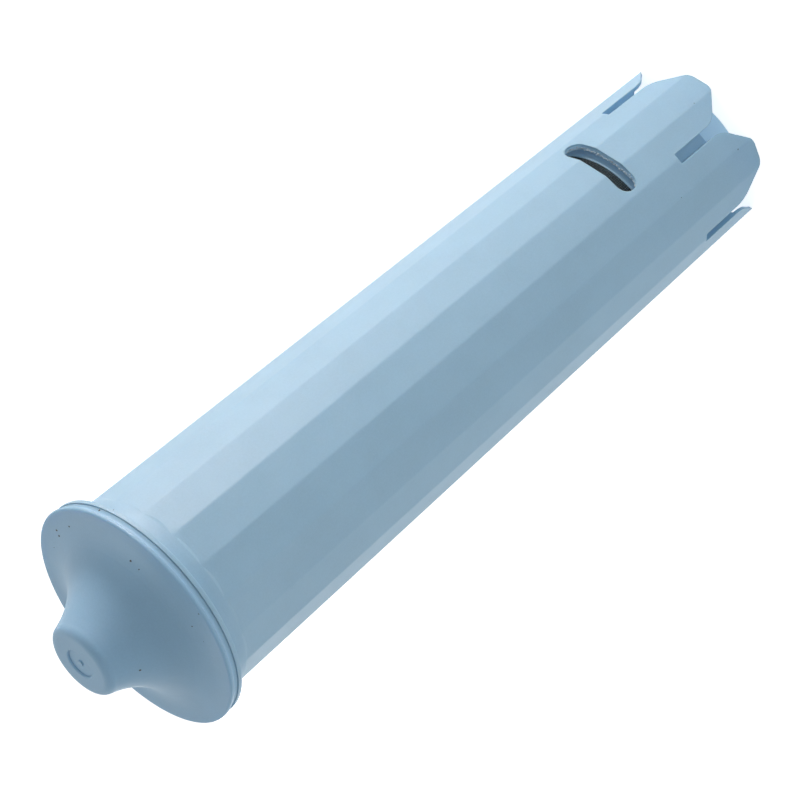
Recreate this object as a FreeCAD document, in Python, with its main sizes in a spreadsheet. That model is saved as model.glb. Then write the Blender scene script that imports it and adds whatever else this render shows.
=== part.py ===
import FreeCAD, Part
import math
import os

import Sketcher

# A water filter cartridge for a coffee machine's tank, in millimetres.
# It stands on the six tips of its crown, which lie at Z = 0, with its nose up.
# The water window faces -Y. Z is the axis of every turned or moulded piece.

SIZES = {
    # faceted tube
    "facet_count": 18,
    "tip_circle_radius": 20.0,
    "collar_circle_radius": 23.0,
    "facet_height": 170.7,
    "facet_edge_round": 2.0,
    "tube_wall": 1.5,
    "collar_runout": 1.0,
    # flange and seam beside the cap
    "seam_height": 175.8,
    "flange_width": 2.8,
    "flange_thickness": 1.1,
    "flange_fillet": 1.2,
    "edge_round": 0.3,
    # crown: the gaps between six lobes
    "lobe_count": 6,
    "slot_width": 2.5,
    "slot_height": 20.5,
    "slot_corner": 0.35,
    "tip_gap": 14.9,
    "shoulder_angle": 47.5,
    "shoulder_round": 6.4,
    "tip_round": 3.2,
    "tip_runout": 0.05,
    "lobe_wall": 1.35,
    "lead_in_wall": 0.55,
    "lead_in_level": 9.4,
    "lead_in_bevel": 0.5,
    # water window
    "window_length": 18.2,
    "window_height": 5.2,
    "window_level": 35.1,
    # bead in the bore that stops the plug, as levels and depths from the tips and the bore
    "bead_level": 29.5,
    "bead_thickness": 1.5,
    "bead_depth": 0.5,
    # closing plug
    "fit_play": 0.05,
    "skirt_wall": 1.4,
    "skirt_rim_level": 10.2,
    "skirt_rim_round": 0.4,
    "floor_thickness": 2.0,
    "neck_radius": 16.9,
    "neck_wall": 1.5,
    "neck_top_level": 32.85,
    "collar_radius": 15.5,
    "collar_wall": 1.4,
    "collar_rim_level": 1.6,
    "socket_radius": 5.0,
    "socket_wall": 1.8,
    "socket_mouth_level": 13.0,
    "socket_lead_in": 0.6,
    "rib_count": 6,
    "rib_thickness": 1.2,
    "rib_height": 4.0,
    "seal_thickness": 1.8,
    "seal_inset": 0.6,
    "outlet_hole_radius": 3.0,
    "pipe_seat_wall": 1.6,
    "pipe_seat_height": 8.0,
    # return pipe
    "pipe_radius": 4.2,
    "pipe_wall": 1.1,
    "pipe_top_level": 168.0,
    "pipe_notch_count": 4,
    "pipe_notch_width": 2.0,
    "pipe_notch_depth": 3.0,
    # inlet sleeve, mesh and fleece
    "sleeve_wall": 1.1,
    "sleeve_height": 14.25,
    "sleeve_rim_thickness": 1.4,
    "sleeve_slot_count": 18,
    "sleeve_slot_width": 2.6,
    "sleeve_slot_height": 8.0,
    "sleeve_slot_sill": 1.6,
    "mesh_thickness": 0.5,
    "fleece_thickness": 1.0,
    # bed, fleece and screen under the head space
    "bed_top_level": 150.0,
    "top_fleece_thickness": 2.0,
    "screen_thickness": 1.6,
    "screen_rim_height": 4.0,
    "screen_rim_wall": 1.2,
    "screen_slot_count": 18,
    "screen_slot_width": 1.4,
    "screen_slot_inner": 8.0,
    "screen_slot_outer": 17.5,
    "media_play": 0.1,
    # end cap
    "cap_overhang": 0.2,
    "cap_lip_thickness": 1.1,
    "cap_lip_round": 0.45,
    "cap_thickness": 2.3,
    "cap_cove_inset": 0.45,
    "cap_seam_inset": 0.2,
    "cap_cove_height": 0.5,
    "skirt_edge_radius": 21.3,
    "skirt_edge_round": 12.0,
    "trumpet_radius": 19.7,
    "trumpet_end_angle": 72.0,
    "trumpet_start_angle": 17.0,
    "nose_height": 15.0,
    "nose_round": 2.0,
    "dimple_radius": 3.2,
    "dimple_depth": 0.45,
    "dimple_round": 0.4,
    "gate_radius": 0.6,
    "gate_height": 0.25,
    "cap_wall": 2.0,
    "hollow_inset": 4.0,
    "spigot_wall": 1.5,
    "spigot_height": 3.5,
    # how far a cut runs past what it cuts, and a pad into what it joins
    "overshoot": 1.0,
    "bite": 0.3,
    "collar_bite": 0.05,
}

document = FreeCAD.newDocument("WaterFilter")
sheet = document.addObject("Spreadsheet::Sheet", "Sizes")
for row, (alias, number) in enumerate(SIZES.items(), start=1):
    sheet.set(f"A{row}", alias)
    sheet.set(f"B{row}", str(number))
    sheet.setAlias(f"B{row}", alias)
document.recompute()


class Length:
    """A number together with the expression that binds it to the sheet."""

    def __init__(self, number, text):
        self.number = number
        self.text = text

    def __add__(self, other):
        other = plain(other)
        return Length(self.number + other.number, f"({self.text} + {other.text})")

    def __sub__(self, other):
        other = plain(other)
        return Length(self.number - other.number, f"({self.text} - {other.text})")

    def __mul__(self, other):
        other = plain(other)
        return Length(self.number * other.number, f"({self.text} * {other.text})")

    def __truediv__(self, other):
        other = plain(other)
        return Length(self.number / other.number, f"({self.text} / {other.text})")


def plain(value):
    """A bare number as a Length, so that both can be mixed in a sum."""
    return value if isinstance(value, Length) else Length(value, repr(value))


def size(alias):
    return Length(float(sheet.get(alias)), f"Sizes.{alias}")


def sine(angle):
    return Length(math.sin(math.radians(angle.number)), f"sin({angle.text})")


def cosine(angle):
    return Length(math.cos(math.radians(angle.number)), f"cos({angle.text})")


def tangent(angle):
    return Length(math.tan(math.radians(angle.number)), f"tan({angle.text})")


def count(alias):
    return int(round(float(sheet.get(alias))))


ZERO = plain(0.0)


def new_body(node):
    body = document.addObject("PartDesign::Body", node)
    body.Label = node
    return body


def origin_feature(body, role):
    """One of the body's own origin planes or axes."""
    return next(feature for feature in body.Origin.OriginFeatures if feature.Role == role)


def new_sketch(body, name, plane, level=None):
    """A sketch on one of the body's own origin planes, raised to a level if one is given."""
    sketch = body.newObject("Sketcher::SketchObject", name)
    sketch.AttachmentSupport = [(origin_feature(body, plane), "")]
    sketch.MapMode = "FlatFace"
    if level is not None:
        sketch.setExpression(".AttachmentOffset.Base.z", level.text)
    return sketch


def pin_point(sketch, edge, end, across, up):
    """Bind one end of an edge to its two coordinates in the sketch."""
    for kind, axis, value in (("DistanceX", -2, across), ("DistanceY", -1, up)):
        if value.number == 0.0 and value.text == ZERO.text:
            sketch.addConstraint(Sketcher.Constraint("PointOnObject", edge, end, axis))
            continue
        index = sketch.addConstraint(Sketcher.Constraint(kind, -1, 1, edge, end, value.number))
        sketch.setExpression(f"Constraints[{index}]", value.text)


def outline(body, name, plane, corners, arcs=None, level=None):
    """A closed outline through corners, each an (across, up) pair of Lengths.

    arcs gives, for the edge that starts at a corner, a (radius, bulge) pair. The bulge is the
    side of the edge, +1 left or -1 right of its direction, on which the arc stands out.
    """
    arcs = arcs or {}
    sketch = new_sketch(body, name, plane, level)
    total = len(corners)
    for index, (across, up) in enumerate(corners):
        start = FreeCAD.Vector(across.number, up.number, 0)
        following = corners[(index + 1) % total]
        end = FreeCAD.Vector(following[0].number, following[1].number, 0)
        chord = Part.LineSegment(start, end)
        if index not in arcs:
            sketch.addGeometry(chord, False)
            continue
        radius, bulge = arcs[index]
        half = (end - start).Length / 2
        rise = radius.number - math.sqrt(radius.number ** 2 - half ** 2)
        left = FreeCAD.Vector(start.y - end.y, end.x - start.x, 0).normalize()
        middle = (start + end) * 0.5 + left * (rise * bulge)
        sketch.addGeometry(Part.Arc(start, middle, end), False)
    for index, (across, up) in enumerate(corners):
        # an arc is stored turning to the left, so one that turns right has its ends swapped
        first = 2 if index in arcs and arcs[index][1] > 0 else 1
        before = (index - 1) % total
        last = 1 if before in arcs and arcs[before][1] > 0 else 2
        sketch.addConstraint(Sketcher.Constraint("Coincident", before, last, index, first))
        pin_point(sketch, index, first, across, up)
        if index in arcs:
            radius = arcs[index][0]
            place = sketch.addConstraint(Sketcher.Constraint("Radius", index, radius.number))
            sketch.setExpression(f"Constraints[{place}]", radius.text)
    return sketch


def turn(body, sketch, kind="Revolution"):
    """Turn an outline on an upright plane about the Z axis, as material or as a groove."""
    feature = body.newObject(f"PartDesign::{kind}", sketch.Name + kind)
    feature.Profile = sketch
    feature.ReferenceAxis = (sketch, ["V_Axis"])
    feature.Angle = 360
    sketch.Visibility = False
    return feature


def cut_one_way(body, sketch, length):
    """Pocket an outline towards the side its upright plane is sketched for."""
    feature = body.newObject("PartDesign::Pocket", sketch.Name + "Pocket")
    feature.Profile = sketch
    feature.setExpression("Length", length.text)
    feature.Reversed = True
    return feature


def repeat(body, feature, copies):
    """Repeat a feature evenly round the Z axis."""
    pattern = body.newObject("PartDesign::PolarPattern", feature.Name + "Pattern")
    pattern.Originals = [feature]
    pattern.Axis = (origin_feature(body, "Z_Axis"), [""])
    pattern.Angle = 360
    pattern.setExpression("Occurrences", copies.text)
    body.Tip = pattern
    return pattern


def round_edges(body, radius, chosen):
    """Fillet the edges of the body's tip that the test accepts."""
    document.recompute()
    tip = body.Tip
    names = [f"Edge{i}" for i, edge in enumerate(tip.Shape.Edges, start=1) if chosen(edge)]
    if not names:
        raise RuntimeError(f"{body.Label}: no edge to round")
    fillet = body.newObject("PartDesign::Fillet", tip.Name + "Rounds")
    fillet.Base = (tip, names)
    fillet.setExpression("Radius", radius.text)
    body.Tip = fillet
    return fillet


def bevel_edges(body, width, chosen):
    """Chamfer the edges of the body's tip that the test accepts."""
    document.recompute()
    tip = body.Tip
    names = [f"Edge{i}" for i, edge in enumerate(tip.Shape.Edges, start=1) if chosen(edge)]
    if not names:
        raise RuntimeError(f"{body.Label}: no edge to bevel")
    chamfer = body.newObject("PartDesign::Chamfer", tip.Name + "Bevel")
    chamfer.Base = (tip, names)
    chamfer.setExpression("Size", width.text)
    body.Tip = chamfer
    return chamfer


def near(value, target, slack=0.01):
    return abs(value - target) < slack


def is_ring(edge, radius, level):
    """True for a full circle about Z of this radius at this level."""
    box = edge.BoundBox
    round_one = near(box.XLength, 2 * radius) and near(box.YLength, 2 * radius)
    return round_one and box.ZLength < 0.01 and near(box.ZMin, level)


def is_short_level(edge, longest, level):
    """True for a short straight edge that lies flat at this level, such as one across a wall."""
    box = edge.BoundBox
    straight = isinstance(edge.Curve, (Part.Line, Part.LineSegment))
    return straight and edge.Length < longest and box.ZLength < 0.01 and near(box.ZMin, level)


# Heights and radii that several pieces share

overshoot = size("overshoot")
flange_radius = size("collar_circle_radius") + size("flange_width")
flange_level = size("seam_height") - size("flange_thickness")
rim_level = size("seam_height") + size("cap_thickness")
taper = (size("collar_circle_radius") - size("tip_circle_radius")) / size("facet_height")
half_facet = plain(180.0) / size("facet_count")


def flat_radius(level):
    """Distance from the axis to the middle of a facet at a level."""
    return (size("tip_circle_radius") + taper * level) * cosine(half_facet)


def bore_radius(level):
    """The tapered bore above the bead."""
    return flat_radius(level) - size("tube_wall")


plug_seat_radius = flat_radius(ZERO) - size("lobe_wall")
bead_top = size("bead_level") + size("bead_thickness")
bead_radius = plug_seat_radius - size("bead_depth")
floor_underside = size("bead_level") - size("floor_thickness")
seal_level = floor_underside - size("seal_thickness")
seal_pocket = size("socket_radius") - size("seal_inset")
sleeve_outer = size("neck_radius") - size("mesh_thickness")
sleeve_inner = sleeve_outer - size("sleeve_wall")
sleeve_top = size("neck_top_level") + size("sleeve_height")
sleeve_rim_level = sleeve_top - size("sleeve_rim_thickness")
pipe_seat_top = size("bead_level") + size("pipe_seat_height")
pipe_seat_outer = size("pipe_radius") + size("fit_play") + size("pipe_seat_wall")
fleece_inner = sleeve_inner - size("fleece_thickness")
top_fleece_level = size("bed_top_level")
screen_level = top_fleece_level + size("top_fleece_thickness")


def facet_sketch(body, name, radius):
    """A regular polygon with one corner on +X, held by its circle and equal sides."""
    sketch = new_sketch(body, name, "XY_Plane")
    sides = count("facet_count")
    step = 2 * math.pi / sides
    points = []
    for index in range(sides):
        angle = index * step
        across = radius.number * math.cos(angle)
        points.append(FreeCAD.Vector(across, radius.number * math.sin(angle), 0))
    for index in range(sides):
        sketch.addGeometry(Part.LineSegment(points[index], points[(index + 1) % sides]), False)
    guide = Part.Circle(FreeCAD.Vector(), FreeCAD.Vector(0, 0, 1), radius.number)
    circle = sketch.addGeometry(guide, True)
    sketch.addConstraint(Sketcher.Constraint("Coincident", circle, 3, -1, 1))
    place = sketch.addConstraint(Sketcher.Constraint("Radius", circle, radius.number))
    sketch.setExpression(f"Constraints[{place}]", radius.text)
    for index in range(sides):
        after = (index + 1) % sides
        sketch.addConstraint(Sketcher.Constraint("Coincident", index, 2, after, 1))
        sketch.addConstraint(Sketcher.Constraint("PointOnObject", index, 1, circle))
        if index:
            sketch.addConstraint(Sketcher.Constraint("Equal", 0, index))
    sketch.addConstraint(Sketcher.Constraint("PointOnObject", 0, 1, -1))
    return sketch


def crown_gap(body):
    """The gap between two lobes, seen along the radius: a slot that opens in two shoulders."""
    half_slot = size("slot_width") / 2
    half_gap = size("tip_gap") / 2
    slope = size("shoulder_angle")
    # where the slot's side would meet the straight shoulder
    knee = (half_gap - half_slot) * tangent(slope)
    reach = size("shoulder_round") * tangent((plain(90.0) - slope) / 2)
    side_end = knee + reach
    shoulder_across = half_slot + reach * cosine(slope)
    shoulder_up = knee - reach * sine(slope)
    below = ZERO - overshoot
    # the tips' rounds run out a little below the tips, so that they cross the tips' level
    sink = ZERO - size("tip_runout")
    tip_corner = half_gap - sink / tangent(slope)
    tip_reach = size("tip_round") * tangent(slope / 2)
    tip_end = tip_corner + tip_reach
    tip_across = tip_corner - tip_reach * cosine(slope)
    tip_up = sink + tip_reach * sine(slope)
    corners = [
        (tip_end, below),
        (tip_end, sink),
        (tip_across, tip_up),
        (shoulder_across, shoulder_up),
        (half_slot, side_end),
        (half_slot, size("slot_height")),
        (ZERO - half_slot, size("slot_height")),
        (ZERO - half_slot, side_end),
        (ZERO - shoulder_across, shoulder_up),
        (ZERO - tip_across, tip_up),
        (ZERO - tip_end, sink),
        (ZERO - tip_end, below),
    ]
    tip = (size("tip_round"), 1)
    shoulder = (size("shoulder_round"), 1)
    return outline(body, "CrownGap", "YZ_Plane", corners, {1: tip, 3: shoulder, 7: shoulder, 9: tip})


def window_outline(body):
    """A slot with round ends, seen square on to the front."""
    straight = (size("window_length") - size("window_height")) / 2
    half = size("window_height") / 2
    low = size("window_level") - half
    high = size("window_level") + half
    sketch = new_sketch(body, "Window", "XZ_Plane")
    middle = size("window_level").number
    right = FreeCAD.Vector(straight.number, middle, 0)
    left = FreeCAD.Vector(-straight.number, middle, 0)
    reach = half.number
    up = FreeCAD.Vector(0, reach, 0)
    side = FreeCAD.Vector(reach, 0, 0)
    sketch.addGeometry(Part.LineSegment(left - up, right - up), False)
    sketch.addGeometry(Part.Arc(right - up, right + side, right + up), False)
    sketch.addGeometry(Part.LineSegment(right + up, left + up), False)
    sketch.addGeometry(Part.Arc(left + up, left - side, left - up), False)
    for edge in range(4):
        sketch.addConstraint(Sketcher.Constraint("Coincident", edge, 2, (edge + 1) % 4, 1))
    pin_point(sketch, 0, 1, ZERO - straight, low)
    pin_point(sketch, 0, 2, straight, low)
    pin_point(sketch, 2, 1, straight, high)
    pin_point(sketch, 2, 2, ZERO - straight, high)
    for edge, across in ((1, straight), (3, ZERO - straight)):
        place = sketch.addConstraint(Sketcher.Constraint("DistanceX", -1, 1, edge, 3, across.number))
        sketch.setExpression(f"Constraints[{place}]", across.text)
    return sketch


def make_housing():
    """Tapered tube with flat facets, round collar and flange, lobed crown and water window."""
    body = new_body("housing")
    prism = body.newObject("PartDesign::Pad", "FacetedPrism")
    prism.Profile = facet_sketch(body, "Facets", size("tip_circle_radius"))
    prism.setExpression("Length", size("facet_height").text)
    document.recompute()
    tube = body.newObject("PartDesign::Draft", "FacetedTube")
    faces = enumerate(prism.Shape.Faces, start=1)
    tube.Base = (prism, [f"Face{i}" for i, face in faces if abs(face.normalAt(0, 0).z) < 0.5])
    tube.NeutralPlane = (origin_feature(body, "XY_Plane"), [""])
    tube.Reversed = True
    tube.setExpression("Angle", f"atan({(taper * cosine(half_facet)).text})")
    body.Tip = tube
    round_edges(body, size("facet_edge_round"), lambda edge: edge.BoundBox.ZLength > 1.0)

    inner = bore_radius(size("facet_height")) - overshoot
    collar = size("collar_circle_radius")
    runout_low = size("facet_height") - size("collar_runout")
    collar_profile = [
        (inner, runout_low),
        (flat_radius(runout_low) - size("collar_bite"), runout_low),
        (collar, size("facet_height")),
        (collar, flange_level),
        (flange_radius, flange_level),
        (flange_radius, size("seam_height")),
        (inner, size("seam_height")),
    ]
    turn(body, outline(body, "Collar", "XZ_Plane", collar_profile))
    under = flange_level.number
    round_edges(body, size("flange_fillet"), lambda edge: is_ring(edge, collar.number, under))
    round_edges(body, size("edge_round"), lambda edge: is_ring(edge, flange_radius.number, under))

    below = ZERO - overshoot
    above = size("seam_height") + overshoot
    lead_in = flat_radius(ZERO) - size("lead_in_wall")
    bore_profile = [
        (ZERO, below),
        (lead_in, below),
        (lead_in, size("lead_in_level")),
        (plug_seat_radius, size("lead_in_level") + size("lead_in_bevel")),
        (plug_seat_radius, size("bead_level")),
        (bead_radius, size("bead_level")),
        (bead_radius, bead_top),
        (bore_radius(bead_top), bead_top),
        (bore_radius(above), above),
        (ZERO, above),
    ]
    turn(body, outline(body, "Bore", "XZ_Plane", bore_profile), "Groove")

    window = cut_one_way(body, window_outline(body), flange_radius)
    body.Tip = window
    gap = cut_one_way(body, crown_gap(body), flange_radius)
    repeat(body, gap, size("lobe_count"))
    thick = size("tube_wall").number * 2
    top = size("slot_height").number
    round_edges(body, size("slot_corner"), lambda edge: is_short_level(edge, thick, top))
    return body


def make_base_plug():
    """Plug pressed into the crown: skirt, collar, floor, neck, outlet socket and pipe seat."""
    body = new_body("base_plug")
    skirt = plug_seat_radius - size("fit_play")
    skirt_inner = skirt - size("skirt_wall")
    socket_outer = size("socket_radius") + size("socket_wall")
    collar_inner = size("collar_radius") - size("collar_wall")
    neck_inner = size("neck_radius") - size("neck_wall")
    pipe_bore = size("pipe_radius") + size("fit_play")
    profile = [
        (size("socket_radius"), size("socket_mouth_level")),
        (socket_outer, size("socket_mouth_level")),
        (socket_outer, floor_underside),
        (collar_inner, floor_underside),
        (collar_inner, size("collar_rim_level")),
        (size("collar_radius"), size("collar_rim_level")),
        (size("collar_radius"), floor_underside),
        (skirt_inner, floor_underside),
        (skirt_inner, size("skirt_rim_level")),
        (skirt, size("skirt_rim_level")),
        (skirt, size("bead_level")),
        (size("neck_radius"), size("bead_level")),
        (size("neck_radius"), size("neck_top_level")),
        (neck_inner, size("neck_top_level")),
        (neck_inner, size("bead_level")),
        (pipe_seat_outer, size("bead_level")),
        (pipe_seat_outer, pipe_seat_top),
        (pipe_bore, pipe_seat_top),
        (pipe_bore, size("bead_level")),
        (size("outlet_hole_radius"), size("bead_level")),
        (size("outlet_hole_radius"), floor_underside),
        (seal_pocket, floor_underside),
        (seal_pocket, seal_level),
        (size("socket_radius"), seal_level),
    ]
    turn(body, outline(body, "PlugProfile", "XZ_Plane", profile))
    rim = size("skirt_rim_level").number
    rim_round = size("skirt_rim_round")
    sides = (skirt.number, skirt_inner.number)
    round_edges(body, rim_round, lambda edge: any(is_ring(edge, side, rim) for side in sides))
    socket = size("socket_radius").number
    mouth = size("socket_mouth_level").number
    bevel_edges(body, size("socket_lead_in"), lambda edge: is_ring(edge, socket, mouth))

    rib_low = floor_underside - size("rib_height")
    half_rib = size("rib_thickness") / 2
    # each rib runs into the socket and the skirt by a little, so that they fuse
    bite = size("bite")
    rib_profile = [
        (socket_outer - bite, rib_low),
        (skirt_inner + bite, rib_low),
        (skirt_inner + bite, floor_underside + bite),
        (socket_outer - bite, floor_underside + bite),
    ]
    rib = body.newObject("PartDesign::Pad", "Rib")
    rib.Profile = outline(body, "RibProfile", "XZ_Plane", rib_profile)
    rib.setExpression("Length", (half_rib * 2).text)
    rib.SideType = "Symmetric"
    repeat(body, rib, size("rib_count"))
    return body


def make_outlet_seal():
    """Flat ring in a pocket at the bottom of the outlet socket."""
    outer = seal_pocket - size("fit_play")
    return make_ring("outlet_seal", size("outlet_hole_radius"), outer, seal_level, floor_underside)


def make_return_pipe():
    """Central pipe with notches in its top edge, standing in the plug's pipe seat."""
    body = new_body("return_pipe")
    inner = size("pipe_radius") - size("pipe_wall")
    profile = [
        (inner, size("bead_level")),
        (size("pipe_radius"), size("bead_level")),
        (size("pipe_radius"), size("pipe_top_level")),
        (inner, size("pipe_top_level")),
    ]
    turn(body, outline(body, "PipeProfile", "XZ_Plane", profile))
    half = size("pipe_notch_width") / 2
    notch_low = size("pipe_top_level") - size("pipe_notch_depth")
    notch_high = size("pipe_top_level") + overshoot
    notch = [
        (ZERO - half, notch_low),
        (half, notch_low),
        (half, notch_high),
        (ZERO - half, notch_high),
    ]
    cut = cut_one_way(body, outline(body, "PipeNotch", "YZ_Plane", notch), size("pipe_radius") * 2)
    repeat(body, cut, size("pipe_notch_count"))
    return body


def make_inlet_sleeve():
    """Sleeve on the plug's neck with slots all round and a rim that reaches the tube."""
    body = new_body("inlet_sleeve")
    rim = bore_radius(sleeve_rim_level) - size("fit_play")
    foot = size("neck_top_level")
    profile = [
        (sleeve_inner, foot),
        (sleeve_outer, foot),
        (sleeve_outer, sleeve_rim_level),
        (rim, sleeve_rim_level),
        (rim, sleeve_top),
        (sleeve_inner, sleeve_top),
    ]
    turn(body, outline(body, "SleeveProfile", "XZ_Plane", profile))
    half = size("sleeve_slot_width") / 2
    sill = foot + size("sleeve_slot_sill")
    head = sill + size("sleeve_slot_height")
    slot = [(ZERO - half, sill), (half, sill), (half, head), (ZERO - half, head)]
    cut = cut_one_way(body, outline(body, "SleeveSlot", "YZ_Plane", slot), size("neck_radius") + overshoot)
    repeat(body, cut, size("sleeve_slot_count"))
    return body


def make_ring(node, inner, outer, low, high):
    """A plain ring, such as a mesh or fleece that keeps its own thickness."""
    body = new_body(node)
    profile = [(inner, low), (outer, low), (outer, high), (inner, high)]
    turn(body, outline(body, "RingProfile", "XZ_Plane", profile))
    return body


def make_granulate_bed():
    """The packed bed: it fills the sleeve, then the tapered tube round the pipe."""
    body = new_body("granulate_bed")
    play = size("media_play")
    seat_clear = pipe_seat_outer + play
    pipe_clear = size("pipe_radius") + play
    lower = fleece_inner - play
    floor = size("bead_level")
    over_rim = sleeve_top
    over_seat = pipe_seat_top + play
    profile = [
        (seat_clear, floor),
        (lower, floor),
        (lower, over_rim),
        (bore_radius(over_rim) - play, over_rim),
        (bore_radius(size("bed_top_level")) - play, size("bed_top_level")),
        (pipe_clear, size("bed_top_level")),
        (pipe_clear, over_seat),
        (seat_clear, over_seat),
    ]
    turn(body, outline(body, "BedProfile", "XZ_Plane", profile))
    return body


def make_top_screen():
    """Slotted disc with a raised rim that grips the tube above the top fleece."""
    body = new_body("top_screen")
    play = size("fit_play")
    inner = size("pipe_radius") + play
    top = screen_level + size("screen_thickness")
    rim_top = screen_level + size("screen_rim_height")
    outer = bore_radius(screen_level) - play
    profile = [
        (inner, screen_level),
        (outer, screen_level),
        (outer, rim_top),
        (outer - size("screen_rim_wall"), rim_top),
        (outer - size("screen_rim_wall"), top),
        (inner, top),
    ]
    turn(body, outline(body, "ScreenProfile", "XZ_Plane", profile))
    half = size("screen_slot_width") / 2
    slot = [
        (size("screen_slot_inner"), ZERO - half),
        (size("screen_slot_outer"), ZERO - half),
        (size("screen_slot_outer"), half),
        (size("screen_slot_inner"), half),
    ]
    sketch = outline(body, "ScreenSlot", "XY_Plane", slot, level=screen_level - overshoot)
    cut = cut_one_way(body, sketch, size("screen_thickness") + overshoot * 2)
    repeat(body, cut, size("screen_slot_count"))
    return body


def make_end_cap():
    """Disc with a hollow trumpet nose: the concave flank is one arc from nose to disc."""
    body = new_body("end_cap")
    start = size("trumpet_start_angle")
    end = size("trumpet_end_angle")
    radius = size("trumpet_radius")
    nose_level = rim_level + size("nose_height")
    # both angles are between the arc's own radius and the level
    arc_rise = radius * (sine(end) - sine(start))
    arc_span = radius * (cosine(start) - cosine(end))
    arc_top = rim_level + arc_rise
    arc_top_radius = size("skirt_edge_radius") - arc_span
    # the nose's corner, where the flank's straight run would meet the flat end
    nose_corner = arc_top_radius - (nose_level - arc_top) * tangent(start)
    gate_top = nose_level - size("dimple_depth") + size("gate_height")
    dimple_floor = nose_level - size("dimple_depth")
    seam = size("seam_height")
    lip = flange_radius + size("cap_overhang")
    cove = flange_radius - size("cap_cove_inset")
    cove_top = rim_level - size("cap_lip_thickness")
    cove_low = cove_top - size("cap_cove_height")
    spigot = bore_radius(seam) - size("fit_play") - size("spigot_height") * taper
    spigot_inner = spigot - size("spigot_wall")
    spigot_low = seam - size("spigot_height")
    wall = size("cap_wall")
    # the hollow under the nose follows the flank at the wall's thickness
    hollow_edge = size("skirt_edge_radius") - size("hollow_inset")
    hollow_low = rim_level - wall
    hollow_span = (radius + wall) * (cosine(start) - cosine(end))
    hollow_rise = (radius + wall) * (sine(end) - sine(start))
    hollow_top_radius = hollow_edge - hollow_span
    hollow_arc_top = hollow_low + hollow_rise
    hollow_roof = nose_level - wall
    profile = [
        (ZERO, gate_top),
        (size("gate_radius"), gate_top),
        (size("gate_radius"), dimple_floor),
        (size("dimple_radius"), dimple_floor),
        (size("dimple_radius"), nose_level),
        (nose_corner, nose_level),
        (arc_top_radius, arc_top),
        (size("skirt_edge_radius"), rim_level),
        (lip, rim_level),
        (lip, cove_top),
        (cove, cove_top),
        (cove, cove_low),
        (flange_radius - size("cap_seam_inset"), seam),
        (spigot, seam),
        (spigot, spigot_low),
        (spigot_inner, spigot_low),
        (spigot_inner, hollow_low),
        (hollow_edge, hollow_low),
        (hollow_top_radius, hollow_arc_top),
        (hollow_top_radius - (hollow_roof - hollow_arc_top) * tangent(start), hollow_roof),
        (ZERO, hollow_roof),
    ]
    arcs = {6: (radius, -1), 17: (radius + wall, 1)}
    turn(body, outline(body, "CapProfile", "XZ_Plane", profile, arcs))
    foot = size("skirt_edge_radius").number
    blend = size("skirt_edge_round")
    round_edges(body, blend, lambda edge: is_ring(edge, foot, rim_level.number))
    nose = nose_level.number
    round_edges(body, size("nose_round"), lambda edge: is_ring(edge, nose_corner.number, nose))
    dimple = size("dimple_radius").number
    round_edges(body, size("dimple_round"), lambda edge: is_ring(edge, dimple, nose))
    lip_levels = (rim_level.number, cove_top.number)
    lip_round = size("cap_lip_round")
    round_edges(body, lip_round, lambda edge: any(is_ring(edge, lip.number, z) for z in lip_levels))
    return body


def make_parts():
    """Every piece, from the crown up to the nose."""
    neck_top = size("neck_top_level")
    fleece_hole = size("pipe_radius") + size("media_play")
    fleece_rim = bore_radius(top_fleece_level) - size("media_play")
    return [
        make_housing(),
        make_base_plug(),
        make_outlet_seal(),
        make_inlet_sleeve(),
        make_ring("inlet_mesh", sleeve_outer, size("neck_radius"), neck_top, sleeve_rim_level),
        make_ring("inlet_fleece", fleece_inner, sleeve_inner, neck_top, sleeve_top),
        make_granulate_bed(),
        make_return_pipe(),
        make_ring("top_fleece", fleece_hole, fleece_rim, top_fleece_level, screen_level),
        make_top_screen(),
        make_end_cap(),
    ]


def check_and_write(parts):
    """Stop at any failed feature or bad shape, then write one file for each piece."""
    document.recompute()
    failed = [item.Label for item in document.Objects if {"Invalid", "Error"} & set(item.State)]
    if failed:
        raise RuntimeError("failed features: " + ", ".join(failed))
    for part in parts:
        if part.Shape.isNull() or not part.Shape.isValid():
            raise RuntimeError(part.Label + " has no valid shape")
    os.makedirs("parts", exist_ok=True)
    for part in parts:
        part.Shape.exportStep(f"parts/{part.Label}.step")
        print(part.Label, len(part.Shape.Solids), round(part.Shape.Volume, 1))


check_and_write(make_parts())
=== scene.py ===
import math
import random

import bmesh
import bpy
from mathutils import Matrix, Vector


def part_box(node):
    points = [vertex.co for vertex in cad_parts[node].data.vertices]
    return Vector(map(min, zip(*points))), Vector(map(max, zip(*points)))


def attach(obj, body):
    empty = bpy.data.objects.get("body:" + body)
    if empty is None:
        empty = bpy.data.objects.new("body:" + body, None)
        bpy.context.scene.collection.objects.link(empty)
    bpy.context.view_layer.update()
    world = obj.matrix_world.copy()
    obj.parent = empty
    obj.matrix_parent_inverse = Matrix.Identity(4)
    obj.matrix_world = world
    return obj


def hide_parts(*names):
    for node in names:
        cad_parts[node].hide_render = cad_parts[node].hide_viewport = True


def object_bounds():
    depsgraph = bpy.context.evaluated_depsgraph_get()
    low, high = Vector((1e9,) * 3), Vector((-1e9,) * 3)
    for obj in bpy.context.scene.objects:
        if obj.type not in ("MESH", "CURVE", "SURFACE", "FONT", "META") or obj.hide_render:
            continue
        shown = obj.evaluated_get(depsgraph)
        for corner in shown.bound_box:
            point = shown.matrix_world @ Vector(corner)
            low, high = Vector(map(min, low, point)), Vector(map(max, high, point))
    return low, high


bl_info = {
    "name": "Water filter cartridge",
    "version": (1, 0, 0),
    "blender": (4, 5, 0),
    "location": "3D View > Sidebar > Water filter",
    "description": "Dresses the water filter cartridge and lights it in a plain studio",
    "category": "Object",
}

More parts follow.
